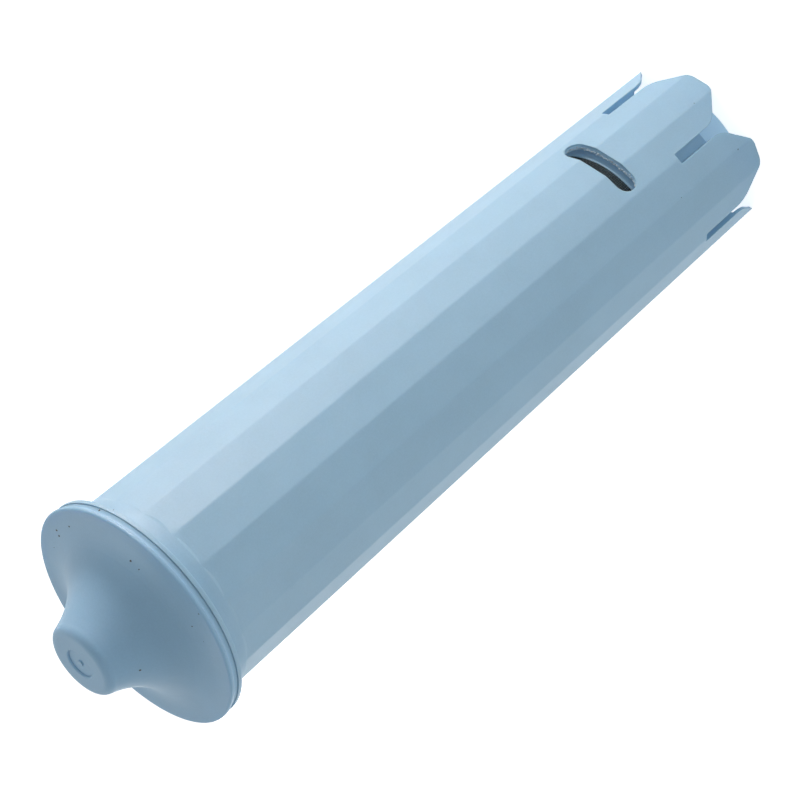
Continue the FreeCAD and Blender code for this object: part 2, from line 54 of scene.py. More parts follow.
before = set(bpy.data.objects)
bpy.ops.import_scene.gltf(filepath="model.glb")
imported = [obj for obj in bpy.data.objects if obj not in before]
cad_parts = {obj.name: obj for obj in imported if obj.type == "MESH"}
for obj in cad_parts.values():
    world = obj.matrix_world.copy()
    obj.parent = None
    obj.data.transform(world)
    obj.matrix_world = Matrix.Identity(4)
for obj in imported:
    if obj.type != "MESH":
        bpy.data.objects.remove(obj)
CAD_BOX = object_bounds()

# Lengths are in metres, as in the frame
MM = 0.001

# The CAD nodes by what they are made of
SHELL = "housing"
CAP = "end_cap"
PLUG = "base_plug"
SCREEN = "inlet_mesh"
FLEECES = ("inlet_fleece", "top_fleece")
INNER_MOULDINGS = ("inlet_sleeve", "return_pipe", "top_screen")


class StageSettings(bpy.types.PropertyGroup):
    """The camera, the lamps and the ground."""

    camera_azimuth: bpy.props.FloatProperty(
        name="Camera azimuth",
        description="Turn of the camera round the cartridge, from the window's side towards +X",
        default=math.radians(-28.06),
        subtype="ANGLE",
        unit="ROTATION",
    )
    camera_elevation: bpy.props.FloatProperty(
        name="Camera elevation",
        description="How far above the horizon the camera looks down from",
        default=math.radians(30.21),
        subtype="ANGLE",
        unit="ROTATION",
    )
    camera_roll: bpy.props.FloatProperty(
        name="Camera roll",
        description="Turn of the camera about its own line of sight",
        default=math.radians(-130.43),
        subtype="ANGLE",
        unit="ROTATION",
    )
    camera_distance: bpy.props.FloatProperty(
        name="Camera distance",
        description="Distance from the point that the camera aims at",
        default=631.6 * MM,
        unit="LENGTH",
    )
    camera_aim: bpy.props.FloatVectorProperty(
        name="Camera aim",
        description="Point in the cartridge at the middle of the picture",
        default=(-1.17 * MM, 0.62 * MM, 100.58 * MM),
        subtype="TRANSLATION",
        unit="LENGTH",
    )
    lens: bpy.props.FloatProperty(
        name="Lens",
        description="Focal length for a sensor 36 mm wide, in millimetres",
        default=136.8,
    )
    key_strength: bpy.props.FloatProperty(
        name="Key lamp",
        description="Power of the low wide lamp on the window's side, in watts",
        default=1.28,
    )
    fill_strength: bpy.props.FloatProperty(
        name="Fill lamp",
        description="Power of the low wide lamp on the other side, in watts",
        default=0.23,
    )
    back_strength: bpy.props.FloatProperty(
        name="Back lamp",
        description="Power of the weak lamp high up behind, in watts",
        default=0.7,
    )
    side_strength: bpy.props.FloatProperty(
        name="Side lamp",
        description="Power of the low wide lamp opposite the key lamp, in watts",
        default=0.2,
    )
    sky_strength: bpy.props.FloatProperty(
        name="Sky",
        description="Strength of the even light from all round",
        default=0.4,
    )
    ground_lift: bpy.props.FloatProperty(
        name="Ground lift",
        description="White added to the ground where it is seen, so that it reads as white",
        default=0.75,
    )


class PlasticSettings(bpy.types.PropertyGroup):
    """The light blue mouldings."""

    shell_colour: bpy.props.FloatVectorProperty(
        name="Shell colour",
        description="Colour of the housing",
        default=(0.313, 0.52, 0.685),
        subtype="COLOR",
    )
    cap_colour: bpy.props.FloatVectorProperty(
        name="Cap colour",
        description="Colour of the end cap",
        default=(0.275, 0.48, 0.665),
        subtype="COLOR",
    )
    # Partly painted light: the plug's own blue, made lighter than the housing's to paint in the
    # light that reaches into the crown
    lightened_plug_colour: bpy.props.FloatVectorProperty(
        name="Plug colour",
        description="Colour of the plug inside the crown",
        default=(0.34, 0.57, 0.75),
        subtype="COLOR",
    )
    inner_colour: bpy.props.FloatVectorProperty(
        name="Inner colour",
        description="Colour of the mouldings inside the tube",
        default=(0.33, 0.47, 0.58),
        subtype="COLOR",
    )
    roughness: bpy.props.FloatProperty(
        name="Roughness",
        description="Mean roughness of the matte moulded surface",
        default=0.46,
        min=0.0,
        max=1.0,
    )
    edge_round: bpy.props.FloatProperty(
        name="Edge round",
        description="Radius of the small round on the mouldings' crisp edges",
        default=0.3 * MM,
        unit="LENGTH",
    )
    glow: bpy.props.FloatProperty(
        name="Glow",
        description="How much of the light scatters inside the plastic",
        default=0.35,
        min=0.0,
        max=1.0,
    )
    grain: bpy.props.FloatProperty(
        name="Grain",
        description="Width of one grain of the mould's spark-eroded texture",
        default=0.4 * MM,
        unit="LENGTH",
    )


class ScreenSettings(bpy.types.PropertyGroup):
    """The woven screen behind the window."""

    pitch: bpy.props.FloatProperty(
        name="Pitch",
        description="Distance from one wire to the next",
        default=0.48 * MM,
        unit="LENGTH",
    )
    wire: bpy.props.FloatProperty(
        name="Wire",
        description="Diameter of one wire",
        default=0.24 * MM,
        unit="LENGTH",
    )
    colour: bpy.props.FloatVectorProperty(
        name="Screen colour",
        description="Colour of the woven wires",
        default=(0.03, 0.05, 0.056),
        subtype="COLOR",
    )


class GrainSettings(bpy.types.PropertyGroup):
    """Resin grains caught along the window's lower wall."""

    count: bpy.props.IntProperty(
        name="Count",
        description="How many grains lie along the wall",
        default=190,
        min=0,
    )
    largest: bpy.props.FloatProperty(
        name="Largest",
        description="Radius of the largest grain",
        default=0.17 * MM,
        unit="LENGTH",
    )
    colour: bpy.props.FloatVectorProperty(
        name="Grain colour",
        description="Colour of the grains",
        default=(0.74, 0.88, 0.95),
        subtype="COLOR",
    )
    seed: bpy.props.IntProperty(
        name="Seed",
        description="Changes where the grains lie",
        default=11,
    )


class SpeckSettings(bpy.types.PropertyGroup):
    """Dust and dirt specks on the mouldings."""

    colour: bpy.props.FloatVectorProperty(
        name="Speck colour",
        description="Colour of the dirt specks",
        default=(0.05, 0.05, 0.05),
        subtype="COLOR",
    )
    seed: bpy.props.IntProperty(
        name="Seed",
        description="Changes the outlines of the specks",
        default=7,
    )


def add_node(tree, kind, inputs=None, **settings):
    """A shader node with its settings and its inputs, each input a value or another's output."""
    node = tree.nodes.new(kind)
    for name, value in settings.items():
        setattr(node, name, value)
    for name, value in (inputs or {}).items():
        socket = node.inputs[name]
        if isinstance(value, bpy.types.NodeSocket):
            tree.links.new(value, socket)
        else:
            socket.default_value = value
    return node


def new_material(name):
    """An empty node material with its output node."""
    material = bpy.data.materials.new(name)
    material.use_nodes = True
    material.node_tree.nodes.clear()
    return material, material.node_tree


def finish_material(tree, surface):
    """Join a surface to the material's output."""
    add_node(tree, "ShaderNodeOutputMaterial", {"Surface": surface})


def rgba(colour, factor=1.0):
    """A colour made lighter or darker by a factor, and opaque."""
    return (*(channel * factor for channel in colour[:3]), 1.0)


def object_place(tree, stretch=(1.0, 1.0, 1.0)):
    """Object coordinates in metres, squeezed by a factor on each axis."""
    coordinates = add_node(tree, "ShaderNodeTexCoord")
    mapping = add_node(
        tree,
        "ShaderNodeMapping",
        {"Vector": coordinates.outputs["Object"], "Scale": stretch},
    )
    return mapping.outputs["Vector"]


def noise(tree, place, size, detail=2.0):
    """Smooth noise whose features are about size across."""
    node = add_node(
        tree,
        "ShaderNodeTexNoise",
        {"Vector": place, "Scale": 1.0 / size, "Detail": detail, "Roughness": 0.55},
    )
    return node.outputs["Fac"]


def ramp(tree, factor, low, high, at=(0.35, 0.65)):
    """A colour ramp from low to high between two positions."""
    node = add_node(tree, "ShaderNodeValToRGB", {"Fac": factor})
    for element, position, colour in zip(node.color_ramp.elements, at, (low, high)):
        element.position = position
        element.color = colour
    return node.outputs["Color"]


def span(tree, factor, low, high):
    """A factor from 0 to 1 as a number from low to high."""
    node = add_node(
        tree,
        "ShaderNodeMapRange",
        {"Value": factor, "To Min": low, "To Max": high},
    )
    return node.outputs["Result"]


def bump(tree, height, depth, strength=1.0, normal=None):
    """A surface normal from a height between 0 and 1."""
    inputs = {"Height": height, "Distance": depth, "Strength": strength}
    if normal is not None:
        inputs["Normal"] = normal
    return add_node(tree, "ShaderNodeBump", inputs).outputs["Normal"]


def overlay(tree, base, top, factor):
    """Two colours mixed by a factor."""
    node = add_node(tree, "ShaderNodeMix", data_type="RGBA")
    for socket, value in ((0, factor), (6, base), (7, top)):
        if isinstance(value, bpy.types.NodeSocket):
            tree.links.new(value, node.inputs[socket])
        else:
            node.inputs[socket].default_value = value
    return node.outputs[2]


# From this level up the facets run out into the round collar, and their bends are blended
COLLAR_LEVEL = 169 * MM
COLLAR_BLEND = 2.4 * MM
# Cosine between the crisp and the broad normal: an edge stays crisp up to the first value, and
# a bend is blended in full from the second
EDGE_LIKENESS = 0.955
BEND_LIKENESS = 0.985

# The water window's middle, half its height and half its length
WINDOW_LEVEL = 35.1 * MM
WINDOW_HALF_HEIGHT = 2.6 * MM
WINDOW_HALF_LENGTH = 9.1 * MM

# Painted light, a glow that the plastic emits in shaded places in place of light that reaches them:
# its colour, and how softly it ends
PAINTED_GLOW_COLOUR = (0.48, 0.7, 0.86)
LEVEL_FADE = 0.5 * MM
RADIUS_FADE = 0.2 * MM
# Each place with a painted glow: low level, high level, radius that the place lies within,
# and strength of the glow
WINDOW_REACH = WINDOW_HALF_HEIGHT + 0.2 * MM
# Painted glows on the window's lower wall, the plug's collar and neck, and the cove under the cap's
# lip
WINDOW_WALL_PAINTED_GLOW = (WINDOW_LEVEL - WINDOW_REACH, WINDOW_LEVEL + WINDOW_REACH, 20.05 * MM, 0.2)
PLUG_COLLAR_PAINTED_GLOW = (-2 * MM, 10.4 * MM, 15.7 * MM, 0.28)
PLUG_NECK_PAINTED_GLOW = (29.0 * MM, 33.2 * MM, 17.1 * MM, 0.09)
CAP_COVE_PAINTED_GLOW = (175.9 * MM, 177.3 * MM, 26.2 * MM, 0.09)

# The moulded surface: how far across its features are, how deep they are, and how far light
# scatters below it
CLOUD_SIZE = 14 * MM
STREAK_SIZE = 2.2 * MM
POLISH_SIZE = 5 * MM
WAVE_SIZE = 4 * MM
WAVE_DEPTH = 0.03 * MM
GRAIN_DEPTH = 0.012 * MM
SCATTER_REACH = 1.6 * MM


def rounded_normal(tree, radius, blend=None):
    """A normal that rounds crisp edges, and blends gentle bends more widely in one zone."""
    crisp = add_node(tree, "ShaderNodeBevel", {"Radius": radius}, samples=4).outputs["Normal"]
    if blend is None:
        return crisp
    wide, zone = blend
    broad = add_node(tree, "ShaderNodeBevel", {"Radius": wide}, samples=5).outputs["Normal"]
    likeness = add_node(
        tree, "ShaderNodeVectorMath", {0: crisp, 1: broad}, operation="DOT_PRODUCT"
    ).outputs["Value"]
    gentle = add_node(
        tree,
        "ShaderNodeMapRange",
        {"Value": likeness, "From Min": EDGE_LIKENESS, "From Max": BEND_LIKENESS},
    ).outputs["Result"]
    share = add_node(
        tree, "ShaderNodeMath", {0: gentle, 1: zone}, operation="MULTIPLY"
    ).outputs["Value"]
    mixed = add_node(tree, "ShaderNodeMix", data_type="VECTOR")
    for socket, source in ((0, share), (4, crisp), (5, broad)):
        tree.links.new(source, mixed.inputs[socket])
    return mixed.outputs[1]


def above_level(tree, low, high):
    """A factor that rises from 0 to 1 between two levels of the part."""
    height = add_node(
        tree, "ShaderNodeSeparateXYZ", {"Vector": object_place(tree)}
    ).outputs["Z"]
    return add_node(
        tree, "ShaderNodeMapRange", {"Value": height, "From Min": low, "From Max": high}
    ).outputs["Result"]


def painted_glow_zone(tree, low, high, inside):
    """Mask of a painted glow: a factor that is 1 between two levels and within a radius, and 0
    elsewhere.
    """
    place = object_place(tree)
    height = add_node(tree, "ShaderNodeSeparateXYZ", {"Vector": place}).outputs["Z"]
    off_centre = add_node(
        tree, "ShaderNodeMath", {0: height, 1: (low + high) / 2}, operation="SUBTRACT"
    ).outputs["Value"]
    away = add_node(
        tree, "ShaderNodeMath", {0: off_centre}, operation="ABSOLUTE"
    ).outputs["Value"]
    half = (high - low) / 2
    level = add_node(
        tree,
        "ShaderNodeMapRange",
        {
            "Value": away,
            "From Min": half - LEVEL_FADE,
            "From Max": half,
            "To Min": 1.0,
            "To Max": 0.0,
        },
    ).outputs["Result"]
    flat = add_node(
        tree, "ShaderNodeVectorMath", {0: place, 1: (1.0, 1.0, 0.0)}, operation="MULTIPLY"
    ).outputs["Vector"]
    radius = add_node(tree, "ShaderNodeVectorMath", {0: flat}, operation="LENGTH").outputs["Value"]
    within = add_node(
        tree,
        "ShaderNodeMapRange",
        {
            "Value": radius,
            "From Min": inside - RADIUS_FADE,
            "From Max": inside,
            "To Min": 1.0,
            "To Max": 0.0,
        },
    ).outputs["Result"]
    return add_node(
        tree, "ShaderNodeMath", {0: level, 1: within}, operation="MULTIPLY"
    ).outputs["Value"]


def moulded_plastic(name, colour, settings, rougher=0.0, flow=0.04, blend_from=None, painted_glows=()):
    """Matte moulded plastic: cloudy tone, flow streaks along the part and a fine eroded grain.

    From the level blend_from up, gentle bends are blended. painted_glows holds the places where
    painted light is emitted, each a low level, a high level, a radius and a strength.
    """
    material, tree = new_material(name)
    place = object_place(tree)
    clouds = noise(tree, place, CLOUD_SIZE, 3.0)
    toned = ramp(tree, clouds, rgba(colour, 0.965), rgba(colour, 1.03))
    streaks = noise(tree, object_place(tree, (1.0, 1.0, 0.06)), STREAK_SIZE, 2.0)
    streaked = overlay(tree, toned, rgba(colour, 0.93), span(tree, streaks, 0.0, flow * 4))
    fine = noise(tree, place, settings.grain, 3.0)
    mottled = overlay(tree, streaked, rgba(colour, 1.3), span(tree, fine, 0.0, 0.4))
    polish = noise(tree, place, POLISH_SIZE, 4.0)
    roughness = settings.roughness + rougher
    blend = None
    if blend_from is not None:
        blend = (COLLAR_BLEND, above_level(tree, blend_from - COLLAR_BLEND, blend_from))
    normal = bump(tree, fine, GRAIN_DEPTH, 0.5, rounded_normal(tree, settings.edge_round, blend))
    normal = bump(tree, noise(tree, place, WAVE_SIZE, 2.0), WAVE_DEPTH, 0.25, normal)
    shader = add_node(
        tree,
        "ShaderNodeBsdfPrincipled",
        {
            "Base Color": mottled,
            "Roughness": span(tree, polish, roughness - 0.05, roughness + 0.06),
            "Normal": normal,
            "IOR": 1.5,
            "Subsurface Weight": settings.glow,
            "Subsurface Radius": (0.5, 0.9, 1.2),
            "Subsurface Scale": SCATTER_REACH,
        },
    )
    # Painted light: the glow zones are added up and emitted from the surface
    glow = None
    for low, high, inside, painted_strength in painted_glows:
        zone = span(tree, painted_glow_zone(tree, low, high, inside), 0.0, painted_strength)
        if glow is not None:
            zone = add_node(
                tree, "ShaderNodeMath", {0: glow, 1: zone}, operation="ADD"
            ).outputs["Value"]
        glow = zone
    if glow is not None:
        shader.inputs["Emission Color"].default_value = (*PAINTED_GLOW_COLOUR, 1.0)
        tree.links.new(glow, shader.inputs["Emission Strength"])
    finish_material(tree, shader.outputs["BSDF"])
    return material


def dress(node_name, material):
    """Give a CAD node one material, and nothing else."""
    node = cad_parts[node_name]
    node.data.materials.clear()
    node.data.materials.append(material)
    return node


class WATERFILTER_OT_shell(bpy.types.Operator):
    """Finish the housing as matte light blue plastic"""

    bl_idname = "waterfilter.shell"
    bl_label = "Finish the housing"

    def execute(self, context):
        settings = context.scene.waterfilter_plastic
        # Painted light: a glow is emitted on the window's lower wall
        material = moulded_plastic(
            "shell_plastic",
            settings.shell_colour,
            settings,
            blend_from=COLLAR_LEVEL,
            painted_glows=(WINDOW_WALL_PAINTED_GLOW,),
        )
        dress(SHELL, material)
        return {"FINISHED"}


class WATERFILTER_OT_cap(bpy.types.Operator):
    """Finish the end cap as matte light blue plastic"""

    bl_idname = "waterfilter.cap"
    bl_label = "Finish the end cap"

    def execute(self, context):
        settings = context.scene.waterfilter_plastic
        # Painted light: a glow is emitted in the cove under the cap's lip, lightening its shade
        material = moulded_plastic(
            "cap_plastic", settings.cap_colour, settings, flow=0.0, painted_glows=(CAP_COVE_PAINTED_GLOW,)
        )
        dress(CAP, material)
        return {"FINISHED"}


class WATERFILTER_OT_plug(bpy.types.Operator):
    """Finish the plug and the mouldings inside the tube"""

    bl_idname = "waterfilter.plug"
    bl_label = "Finish the inner mouldings"

    def execute(self, context):
        settings = context.scene.waterfilter_plastic
        # Painted light: glows are emitted on the plug's collar and neck inside the crown
        plug = moulded_plastic(
            "plug_plastic", settings.lightened_plug_colour, settings, flow=0.0, painted_glows=(PLUG_COLLAR_PAINTED_GLOW, PLUG_NECK_PAINTED_GLOW)
        )
        dress(PLUG, plug)
        inner = moulded_plastic("inner_plastic", settings.inner_colour, settings, rougher=0.06)
        for name in INNER_MOULDINGS:
            dress(name, inner)
        return {"FINISHED"}


# The seal, the felt and the granulate: how far across their features are, and how deep
BLOOM_SIZE = 1.5 * MM
RUBBER_GRAIN = 0.2 * MM
RUBBER_DEPTH = 0.01 * MM
FIBRE_SIZE = 0.15 * MM
FIBRE_DEPTH = 0.08 * MM
TUFT_SIZE = 2.0 * MM
TUFT_DEPTH = 0.15 * MM
BEAD_SIZE = 0.9 * MM
BEAD_DEPTH = 0.4 * MM


def soft_rubber():
    """Grey silicone with a dusty bloom."""
    material, tree = new_material("seal_rubber")
    place = object_place(tree)
    bloom = noise(tree, place, BLOOM_SIZE, 4.0)
    shader = add_node(
        tree,
        "ShaderNodeBsdfPrincipled",
        {
            "Base Color": ramp(tree, bloom, (0.02, 0.022, 0.024, 1), (0.05, 0.053, 0.056, 1)),
            "Roughness": span(tree, bloom, 0.5, 0.7),
            "Normal": bump(tree, noise(tree, place, RUBBER_GRAIN), RUBBER_DEPTH, 0.4),
        },
    )
    finish_material(tree, shader.outputs["BSDF"])
    return material


def pressed_felt():
    """White felt: crossing fibres over a soft uneven surface."""
    material, tree = new_material("filter_fleece")
    along = noise(tree, object_place(tree, (1.0, 1.0, 0.15)), FIBRE_SIZE, 3.0)
    across = noise(tree, object_place(tree, (0.15, 0.15, 1.0)), FIBRE_SIZE, 3.0)
    fibres = add_node(
        tree, "ShaderNodeMath", {0: along, 1: across}, operation="MAXIMUM"
    ).outputs["Value"]
    tufts = noise(tree, object_place(tree), TUFT_SIZE, 3.0)
    colour = ramp(tree, fibres, (0.55, 0.56, 0.54, 1), (0.8, 0.81, 0.78, 1))
    normal = bump(tree, fibres, FIBRE_DEPTH, 0.8, bump(tree, tufts, TUFT_DEPTH, 0.4))
    shader = add_node(
        tree,
        "ShaderNodeBsdfPrincipled",
        {"Base Color": colour, "Roughness": 0.95, "Sheen Weight": 0.2, "Normal": normal},
    )
    finish_material(tree, shader.outputs["BSDF"])
    return material


def filter_beads():
    """Packed granulate: round beads of two mixed tones, with dark gaps between them."""
    material, tree = new_material("granulate")
    place = object_place(tree)
    cells = {"Vector": place, "Scale": 1.0 / BEAD_SIZE}
    beads = add_node(tree, "ShaderNodeTexVoronoi", cells)
    gaps = add_node(tree, "ShaderNodeTexVoronoi", cells, feature="DISTANCE_TO_EDGE")
    pick = add_node(tree, "ShaderNodeSeparateColor", {"Color": beads.outputs["Color"]})
    tone = ramp(
        tree, pick.outputs[0], (0.32, 0.2, 0.09, 1), (0.028, 0.026, 0.025, 1), (0.6, 0.64)
    )
    closeness = span(tree, gaps.outputs["Distance"], 0.0, 6.0)
    colour = overlay(tree, (0.01, 0.009, 0.008, 1), tone, closeness)
    dome = add_node(
        tree, "ShaderNodeMath", {0: 1.0, 1: beads.outputs["Distance"]}, operation="SUBTRACT"
    ).outputs["Value"]
    shader = add_node(
        tree,
        "ShaderNodeBsdfPrincipled",
        {"Base Color": colour, "Roughness": 0.5, "Normal": bump(tree, dome, BEAD_DEPTH)},
    )
    finish_material(tree, shader.outputs["BSDF"])
    return material


class WATERFILTER_OT_media(bpy.types.Operator):
    """Finish the seal, the fleeces and the granulate bed"""

    bl_idname = "waterfilter.media"
    bl_label = "Finish the seal and the filter media"

    def execute(self, context):
        dress("outlet_seal", soft_rubber())
        felt = pressed_felt()
        for name in FLEECES:
            dress(name, felt)
        dress("granulate_bed", filter_beads())
        return {"FINISHED"}


def outward_at(turn):
    """The direction away from the axis at a turn from +X, in radians."""
    return Vector((math.cos(turn), math.sin(turn), 0))


def tube_along(points, normals, radius, closed):
    """Corners and faces of a four-sided wire through points, each with its outward normal."""
    corners, faces = [], []
    total = len(points)
    for index, (point, outward) in enumerate(zip(points, normals)):
        ahead = points[(index + 1) % total] if closed or index + 1 < total else point
        behind = points[index - 1] if closed or index else point
        tangent = (ahead - behind).normalized()
        side = tangent.cross(outward).normalized()
        up = side.cross(tangent)
        corners += [point + up * radius, point + side * radius]
        corners += [point - up * radius, point - side * radius]
    for index in range(total if closed else total - 1):
        here, there = 4 * index, 4 * ((index + 1) % total)
        for corner in range(4):
            after = (corner + 1) % 4
            faces.append((here + corner, here + after, there + after, there + corner))
    if not closed:
        last = 4 * (total - 1)
        faces += [(3, 2, 1, 0), (last, last + 1, last + 2, last + 3)]
    return corners, faces


def woven_sleeve(middle, low, high, pitch, wire):
    """A plain weave rolled into a tube: upright wires pass over and under level rings.

    middle is the radius halfway through the weave, and low and high are the tube's ends.
    """
    radius = wire / 2
    uprights = 2 * round(math.pi * middle / pitch)
    rings = int((high - low - wire) / pitch)
    bottom = (low + high - rings * pitch) / 2
    corners, faces = [], []

    def add(points, normals, closed):
        start = len(corners)
        new_corners, new_faces = tube_along(points, normals, radius, closed)
        corners.extend(new_corners)
        faces.extend(tuple(start + corner for corner in face) for face in new_faces)

    for upright in range(uprights):
        outward = outward_at(2 * math.pi * upright / uprights)
        points = []
        for half in range(2 * rings + 1):
            swing = math.cos(math.pi * (half / 2 + upright)) if half % 2 == 0 else 0.0
            height = bottom + half * pitch / 2
            points.append(outward * (middle + swing * radius) + Vector((0, 0, height)))
        add(points, [outward] * len(points), closed=False)
    for ring in range(rings + 1):
        points, normals = [], []
        for half in range(2 * uprights):
            outward = outward_at(math.pi * half / uprights)
            swing = -math.cos(math.pi * (half / 2 + ring)) if half % 2 == 0 else 0.0
            height = bottom + ring * pitch
            points.append(outward * (middle + swing * radius) + Vector((0, 0, height)))
            normals.append(outward)
        add(points, normals, closed=True)
    return corners, faces


def new_piece(name, corners, faces, material, smooth=True):
    """A mesh object from corners and faces in the frame, in metres."""
    mesh = bpy.data.meshes.new(name)
    mesh.from_pydata([tuple(corner) for corner in corners], [], faces)
    mesh.validate()
    mesh.update()
    for polygon in mesh.polygons:
        polygon.use_smooth = smooth
    mesh.materials.append(material)
    piece = bpy.data.objects.new(name, mesh)
    bpy.context.scene.collection.objects.link(piece)
    return piece


# The wire: how far across its changes of shade and its fine grain are, and how deep the grain is
SHADE_SIZE = 0.8 * MM
WIRE_GRAIN = 0.1 * MM
WIRE_DEPTH = 0.01 * MM


def screen_wire(colour):
    """Dark nylon wire whose shade and sheen change a little along it."""
    material, tree = new_material("mesh_fabric")
    place = object_place(tree)
    shade = noise(tree, place, SHADE_SIZE, 3.0)
    shader = add_node(
        tree,
        "ShaderNodeBsdfPrincipled",
        {
            "Base Color": ramp(tree, shade, rgba(colour, 0.7), rgba(colour, 1.3)),
            "Roughness": span(tree, shade, 0.5, 0.65),
            "Normal": bump(tree, noise(tree, place, WIRE_GRAIN), WIRE_DEPTH, 0.3),
        },
    )
    finish_material(tree, shader.outputs["BSDF"])
    return material


class WATERFILTER_OT_screen(bpy.types.Operator):
    """Weave the inlet screen in the place of its plain ring"""

    bl_idname = "waterfilter.screen"
    bl_label = "Weave the inlet screen"

    def execute(self, context):
        settings = context.scene.waterfilter_screen
        low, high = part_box(SCREEN)
        outer = (high.x - low.x) / 2
        middle = outer - settings.wire
        corners, faces = woven_sleeve(middle, low.z, high.z, settings.pitch, settings.wire)
        piece = new_piece("woven_screen", corners, faces, screen_wire(settings.colour))
        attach(piece, "root")
        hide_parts(SCREEN)
        return {"FINISHED"}


# The bore beside the window is narrower than the sleeve's rim, higher up the tapered tube
BORE_STEP = 0.2 * MM
# How far outside the bore the grains lie, and how much that varies
GRAINS_OUTSIDE = 0.35 * MM
GRAINS_SPREAD = 0.22 * MM
RESIN_CLOUD_SIZE = 0.4 * MM


def window_edge(along):
    """A point across and up on the window's lower outline, along from -1 to 1 end to end."""
    straight = WINDOW_HALF_LENGTH - WINDOW_HALF_HEIGHT
    bend = WINDOW_HALF_HEIGHT * math.pi / 2
    reach = abs(along) * (straight + bend)
    side = math.copysign(1.0, along)
    if reach <= straight:
        return side * reach, WINDOW_LEVEL - WINDOW_HALF_HEIGHT
    angle = (reach - straight) / WINDOW_HALF_HEIGHT
    across = straight + WINDOW_HALF_HEIGHT * math.sin(angle)
    return side * across, WINDOW_LEVEL - WINDOW_HALF_HEIGHT * math.cos(angle)


def grain_row(total, bore, largest, chance):
    """Uneven round grains along the inner edge of the window's lower wall."""
    lump = bmesh.new()
    bmesh.ops.create_icosphere(lump, subdivisions=1, radius=1.0)
    shape = [vertex.co.copy() for vertex in lump.verts]
    sides = [tuple(vertex.index for vertex in face.verts) for face in lump.faces]
    lump.free()
    corners, faces = [], []
    for _ in range(total):
        across, level = window_edge(chance.uniform(-1, 1))
        radius = largest * chance.uniform(0.5, 1.0) ** 1.5
        away = bore + chance.gauss(GRAINS_OUTSIDE, GRAINS_SPREAD)
        centre = Vector((across, -math.sqrt(away ** 2 - across ** 2), level + radius * 0.3))
        start = len(corners)
        corners += [centre + corner * radius * chance.uniform(0.75, 1.25) for corner in shape]
        faces += [tuple(start + corner for corner in side) for side in sides]
    return corners, faces


def resin(colour):
    """Wet-looking resin: clear highlights over a pale clouded body."""
    material, tree = new_material("resin_grains")
    clouds = noise(tree, object_place(tree), RESIN_CLOUD_SIZE)
    shader = add_node(
        tree,
        "ShaderNodeBsdfPrincipled",
        {
            "Base Color": ramp(tree, clouds, rgba(colour, 0.45), rgba(colour, 1.25)),
            "Roughness": span(tree, clouds, 0.3, 0.5),
            "Coat Weight": 0.2,
        },
    )
    finish_material(tree, shader.outputs["BSDF"])
    return material


class WATERFILTER_OT_grains(bpy.types.Operator):
    """Lay the row of resin grains along the window's lower wall"""

    bl_idname = "waterfilter.grains"
    bl_label = "Lay the grains in the window"

    def execute(self, context):
        settings = context.scene.waterfilter_grains
        low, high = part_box("inlet_sleeve")
        bore = (high.x - low.x) / 2 - BORE_STEP
        chance = random.Random(settings.seed)
        corners, faces = grain_row(settings.count, bore, settings.largest, chance)
        piece = new_piece("window_grains", corners, faces, resin(settings.colour))
        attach(piece, "root")
        return {"FINISHED"}


# Each speck on the cap's face: its angle from +X in degrees, its distance from the axis and
# half its length, both in millimetres
CAP_SPECKS = (
    (-25.6, 22.8, 0.4),
    (-24.0, 21.7, 0.34),
    (-40.8, 22.1, 0.3),
    (-9.2, 21.9, 0.16),
    (-92.1, 19.6, 0.3),
    (-99.0, 19.3, 0.22),
    (-172.4, 10.4, 0.26),
    (-152.0, 21.6, 0.12),
    (-142.1, 20.7, 0.18),
    (-135.2, 25.1, 0.24),
)
# Each speck on the side, in the same units: its angle, its level above the crown's tips and
# half its length
SIDE_SPECKS = (
    (-66.9, 176.15, 0.24),
    (-73.5, 174.97, 0.2),
    (-99.7, 6.7, 0.15),
    (-140.1, 5.4, 0.2),
    (-139.4, 25.8, 0.13),
)
SPECK_CORNERS = 9
# How far a speck's rim stands off the surface
SPECK_LIFT = 0.015 * MM
SPECK_MOTTLE_SIZE = 0.3 * MM
# How far off the part the ray that finds a speck's place starts
FAR_OUT = 100 * MM


def speck_outline(centre, normal, reach, chance):
    """A small uneven patch that lies on the surface."""
    across = normal.orthogonal().normalized()
    along = normal.cross(across)
    turn = chance.uniform(0, math.tau)
    squeeze = chance.uniform(0.55, 0.95)
    corners = [centre + normal * SPECK_LIFT * 2]
    for index in range(SPECK_CORNERS):
        angle = turn + math.tau * index / SPECK_CORNERS
        length = reach * chance.uniform(0.75, 1.1)
        side = math.sin(angle) * length * squeeze
        corners.append(centre + across * math.cos(angle) * length + along * side)
    return corners


def speck_rays():
    """Where each speck's ray starts, its direction and the speck's reach, in metres."""
    _, high = CAD_BOX
    for angle, radius, reach in CAP_SPECKS:
        outward = outward_at(math.radians(angle))
        start = outward * radius * MM + Vector((0, 0, high.z + FAR_OUT))
        yield start, Vector((0, 0, -1)), reach * MM
    for angle, level, reach in SIDE_SPECKS:
        outward = outward_at(math.radians(angle))
        yield outward * FAR_OUT + Vector((0, 0, level * MM)), -outward, reach * MM


def speck_material(colour):
    """Dull dark dirt, mottled a little."""
    material, tree = new_material("speck_dirt")
    tone = noise(tree, object_place(tree), SPECK_MOTTLE_SIZE)
    shader = add_node(
        tree,
        "ShaderNodeBsdfPrincipled",
        {"Base Color": ramp(tree, tone, rgba(colour, 0.8), rgba(colour, 2.2)), "Roughness": 0.8},
    )
    finish_material(tree, shader.outputs["BSDF"])
    return material


